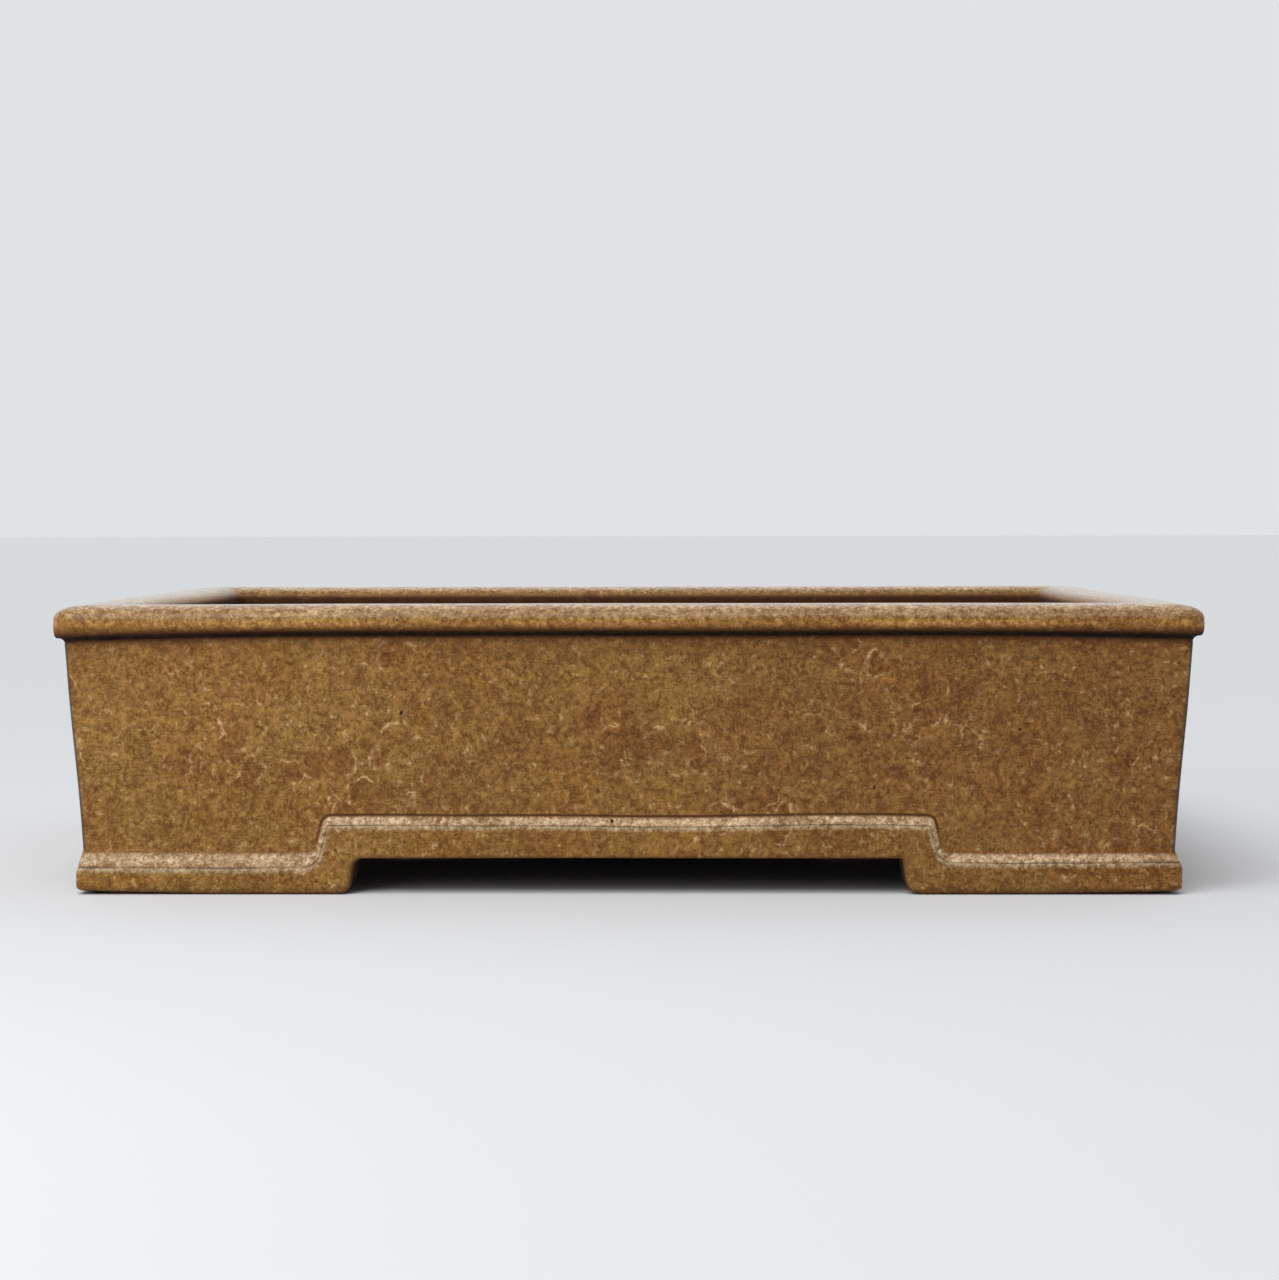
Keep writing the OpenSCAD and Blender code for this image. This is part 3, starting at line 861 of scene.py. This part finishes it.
def floorCell(left, right, near, far, middle, radius, rounding):
    # rows go from the rectangle in over the top, round the hole's upper edge, down the hole,
    # round its lower edge and out below; columns go round, their angles half way to even spacing
    shape = floorShape
    nx, ny = shape["across"], shape["along"]
    run, climb = np.arange(nx) / nx, np.arange(ny) / ny
    flat = np.concatenate([left + (right - left) * run, np.full(ny, right),
                           right + (left - right) * run, np.full(ny, left)])
    deep = np.concatenate([np.full(nx, near), near + (far - near) * climb,
                           np.full(nx, far), far + (near - far) * climb])
    edge = np.stack([flat, deep], 1)
    angle = np.unwrap(np.arctan2(deep - middle[1], flat - middle[0]))
    even = angle[0] + 2 * np.pi * np.arange(len(angle)) / len(angle)
    angle = (angle + even) / 2
    spoke = np.stack([np.cos(angle), np.sin(angle)], 1)
    share = np.array(shape["rings"])[:, None, None]
    flatRows = edge * (1 - share) + (middle + spoke * (radius + rounding)) * share
    a = quarterTurn(6)
    flare = radius + rounding * (1 - np.sin(a))
    size = np.concatenate([flare, flare[::-1]])
    holeRows = middle + spoke * size[:, None, None]
    drop = rounding * (1 - np.cos(a))
    height = np.concatenate([np.full(len(share), floorTop), floorTop - drop, (floorUnder + drop)[::-1],
                             np.full(len(share), floorUnder)])
    plan = np.concatenate([flatRows, holeRows, flatRows[::-1]])
    return np.concatenate([plan, np.broadcast_to(height[:, None, None], plan.shape[:2] + (1,))], 2)


def makeFloor():
    shape = floorShape
    drains = mounts["drain_left"], mounts["drain_right"]
    wires = mounts["wire_holes"]["dims"]
    wireX, wireY = wires["spacing_x_mm"] / 2 * mm, wires["spacing_y_mm"] / 2 * mm
    halfX, halfY = halfSize - liningIn(floorTop)
    drainRadius = drains[0]["dims"]["r_mm"] * mm
    rowEdge = (wireY + drainRadius) / 2
    points, faces, start = [], [], 0
    for way, drain in zip((-1, 1), drains):
        left, right = sorted((0, way * halfX))
        for near, far, x, y, radius, rounding in (
                (-halfY, -rowEdge, way * wireX, -wireY, wires["hole_r_mm"] * mm, shape["wireRound"]),
                (-rowEdge, rowEdge, drain["pos_m"][0], drain["pos_m"][1], drainRadius, shape["drainRound"]),
                (rowEdge, halfY, way * wireX, wireY, wires["hole_r_mm"] * mm, shape["wireRound"])):
            cell = floorCell(left, right, near, far, np.array([x, y]), radius, rounding)
            index = start + np.arange(cell.shape[0] * cell.shape[1]).reshape(cell.shape[:2])
            beside = np.roll(index, -1, 1)
            below, across = np.roll(index, -1, 0), np.roll(beside, -1, 0)
            quads = np.stack([index, beside, across, below], -1)
            middle = (cell[0, :, :2] + np.roll(cell[0, :, :2], -1, 0)) / 2
            rim = (halfX - abs(middle[:, 0]) < 1e-6) | (halfY - abs(middle[:, 1]) < 1e-6)
            faces += [quads[:-1].reshape(-1, 4), quads[-1][rim]]
            points.append(cell.reshape(-1, 3))
            start += index.size
    points, faces = np.concatenate(points), np.concatenate(faces)
    points, merged = np.unique(points.round(7), axis=0, return_inverse=True)
    addPiece("floor_slab", points, merged.reshape(-1)[faces].tolist(), clay)


makeFloor()
print("floor made")


# setting: a plain pale floor, soft light and the camera

stageLook = {"floor": "#cccdcf", "size": 60.0}
roomLook = {"colour": "#e0e3e6", "fromFront": 0.42, "fromBack": 1.0}
overheadLook = {"power": 2.2, "height": 60, "fromLeft": 25, "spread": 50}       # angles in degrees
softboxLook = {"power": 2.6, "place": (-0.55, -0.75, 0.45), "size": 0.5}


def makeFloorPlane():
    half = stageLook["size"] / 2
    mesh = bpy.data.meshes.new("studioFloor")
    points = [(-half, -half, 0), (half, -half, 0), (half, half, 0), (-half, half, 0)]
    mesh.from_pydata(points, [], [(0, 1, 2, 3)])
    material, tree = newMaterial("mattPalePaint")
    shader = addNode(tree, "BsdfPrincipled", {"Base Color": linear(stageLook["floor"]), "Roughness": 0.9,
                                              "Specular IOR Level": 0.0})
    addNode(tree, "OutputMaterial", {"Surface": shader})
    mesh.materials.append(material)
    floor = bpy.data.objects.new("studioFloor", mesh)
    bpy.context.collection.objects.link(floor)
    floor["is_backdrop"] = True


def makeRoom():
    # an even pale backdrop that lights the object less from the front than from behind
    look = roomLook
    world = bpy.data.worlds.new("studioRoom")
    world.use_nodes = True
    tree = world.node_tree
    tree.nodes.clear()
    way = addNode(tree, "TexCoord", {}, output="Generated")
    depth = addNode(tree, "SeparateXYZ", {0: way}, output=1)
    share = addNode(tree, "MapRange", {"Value": depth, "From Min": -0.7, "From Max": 0.7,
                                       "To Min": look["fromFront"], "To Max": look["fromBack"]})
    seen = addNode(tree, "LightPath", {}, output="Is Camera Ray")
    strength = addNode(tree, "Mix", {0: seen, 2: share, 3: 1.0})
    backdrop = addNode(tree, "Background", {"Color": linear(look["colour"]), "Strength": strength})
    addNode(tree, "OutputWorld", {"Surface": backdrop})
    bpy.context.scene.world = world
    bpy.context.scene.view_settings.view_transform = "Standard"


def addOverhead(power, height, fromLeft, spread):
    # a broad soft light from above, in front and a little to the left
    light = bpy.data.lights.new("overhead", "SUN")
    light.energy, light.angle = power, np.radians(spread)
    lamp = bpy.data.objects.new("overhead", light)
    bpy.context.collection.objects.link(lamp)
    lamp.rotation_euler = (np.radians(90 - height), 0, np.radians(-fromLeft))


def addSoftbox(power, place, size):
    # a square soft light near the front left, turned to the pot
    light = bpy.data.lights.new("softbox", "AREA")
    light.energy, light.size = power, size
    lamp = bpy.data.objects.new("softbox", light)
    bpy.context.collection.objects.link(lamp)
    lamp.location = place
    lamp.rotation_euler = (-Vector(place)).to_track_quat("-Z", "Y").to_euler()


cameraView = {"place": (17.8 * mm, -1129.8 * mm, 141.8 * mm), "pan": 0.764, "tilt": 2.552,
              "roll": -0.099, "lens": 72.93}


def addCamera(place, pan, tilt, roll, lens):
    # angles in degrees: pan to the left, tilt down, roll clockwise
    camera = bpy.data.cameras.new("camera")
    camera.lens, camera.sensor_width, camera.sensor_fit = lens, 36, "AUTO"
    camera.clip_start, camera.clip_end = 0.05, 50
    eye = bpy.data.objects.new("camera", camera)
    bpy.context.collection.objects.link(eye)
    turn = (Matrix.Rotation(np.radians(pan), 4, "Z") @ Matrix.Rotation(np.radians(90 - tilt), 4, "X")
            @ Matrix.Rotation(np.radians(roll), 4, "Z"))
    eye.matrix_world = Matrix.Translation(place) @ turn
    bpy.context.scene.camera = eye


makeFloorPlane()
makeRoom()
addOverhead(**overheadLook)
addSoftbox(**softboxLook)
addCamera(**cameraView)
print("setting made")
